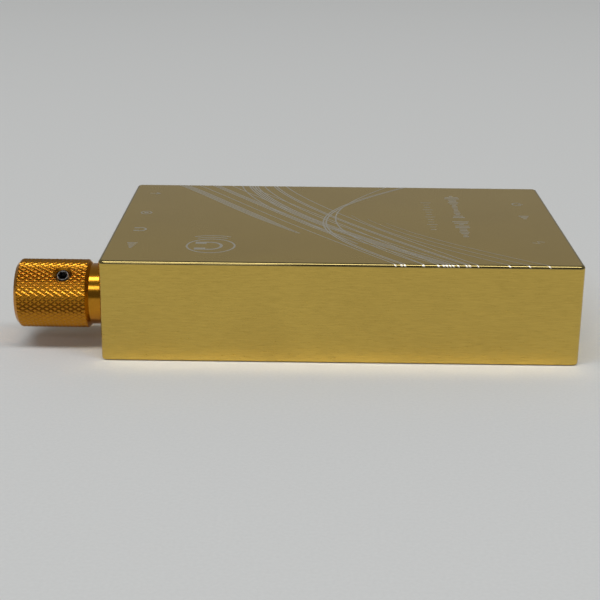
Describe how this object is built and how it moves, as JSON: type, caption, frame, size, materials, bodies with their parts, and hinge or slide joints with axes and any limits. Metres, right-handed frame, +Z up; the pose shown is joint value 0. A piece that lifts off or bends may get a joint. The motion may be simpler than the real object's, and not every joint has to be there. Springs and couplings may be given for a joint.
{
  "type": "portable headphone amplifier",
  "caption": "Flat gold aluminium portable headphone amplifier with a knurled volume knob and headphone jacks on its front end, slide switches and a charging port on its rear.",
  "frame": {"origin": "middle of the underside of the base plate, on the surface that the amplifier rests on", "axes": "+X along the case from the volume-knob end to the rear end, +Y from the long side nearest the knob to the other long side, +Z up through the top"},
  "size_m": [0.1318, 0.072, 0.024],
  "materials": {
    "case_gold": "gold-anodised aluminium, finely brushed sides and satin top with a bright polished edge",
    "knob_gold": "orange-gold anodised aluminium, turned and diamond knurled",
    "steel": "plain steel screws",
    "brass": "gold-plated brass jack barrels and ring nuts",
    "zinc": "nickel-plated sheet and zinc casting",
    "black_plastic": "black moulded plastic",
    "board_green": "green solder mask over glass epoxy",
    "pale_plastic": "natural nylon connector plastic",
    "battery_wrap": "laminated aluminium pouch film",
    "foam": "black adhesive foam",
    "can_sleeve": "dark blue shrink sleeve on an aluminium can",
    "film_red": "red moulded film capacitor case",
    "chip": "black epoxy moulding",
    "lead_red": "red silicone wire insulation",
    "lead_black": "black silicone wire insulation",
    "light_clear": "clear acrylic light pipe"
  },
  "bodies": {
    "amplifier": {"balanced_jack_barrel": "brass", "balanced_jack_body": "black_plastic", "balanced_jack_nut": "brass", "base_plate": "case_gold", "base_screw_1": "steel", "base_screw_2": "steel", "base_screw_3": "steel", "base_screw_4": "steel", "base_screw_5": "steel", "base_screw_6": "steel", "battery_lead_black": "lead_black", "battery_lead_red": "lead_red", "battery_pack": "battery_wrap", "battery_pad": "foam", "battery_plug": "pale_plastic", "battery_socket": "pale_plastic", "board_screw_1": "steel", "board_screw_2": "steel", "board_screw_3": "steel", "board_screw_4": "steel", "capacitor_1": "can_sleeve", "capacitor_2": "can_sleeve", "capacitor_3": "can_sleeve", "capacitor_4": "can_sleeve", "case_shell": "case_gold", "charger_chip": "chip", "charger_coil": "chip", "film_capacitor_1": "film_red", "film_capacitor_2": "film_red", "gain_switch_body": "zinc", "light_pipe": "light_clear", "line_jack_barrel": "brass", "line_jack_body": "black_plastic", "line_jack_nut": "brass", "main_board": "board_green", "mute_relay": "pale_plastic", "opamp_left": "chip", "opamp_right": "chip", "phone_jack_barrel": "brass", "phone_jack_body": "black_plastic", "phone_jack_nut": "brass", "pot_body": "black_plastic", "pot_bush": "zinc", "pot_nut": "zinc", "pot_washer": "steel", "power_switch_body": "zinc", "status_led": "pale_plastic", "usb_port": "zinc", "usb_tongue": "black_plastic"},
    "volume_control": {"volume_knob": "knob_gold", "knob_set_screw": "steel", "volume_shaft": "zinc"},
    "power_lever": {"power_slider": "black_plastic"},
    "gain_lever": {"gain_slider": "black_plastic"}
  },
  "joints": [
    {"name": "volume_turn", "type": "hinge", "parent": "amplifier", "child": "volume_control", "pos_m": [-0.055, -0.0232, 0.012], "axis": [1, 0, 0], "range_deg": [0, 300]},
    {"name": "power_slide", "type": "slide", "parent": "amplifier", "child": "power_lever", "axis": [0, 1, 0], "range_m": [0, 0.0024]},
    {"name": "gain_slide", "type": "slide", "parent": "amplifier", "child": "gain_lever", "axis": [0, 1, 0], "range_m": [0, 0.0024]}
  ]
}
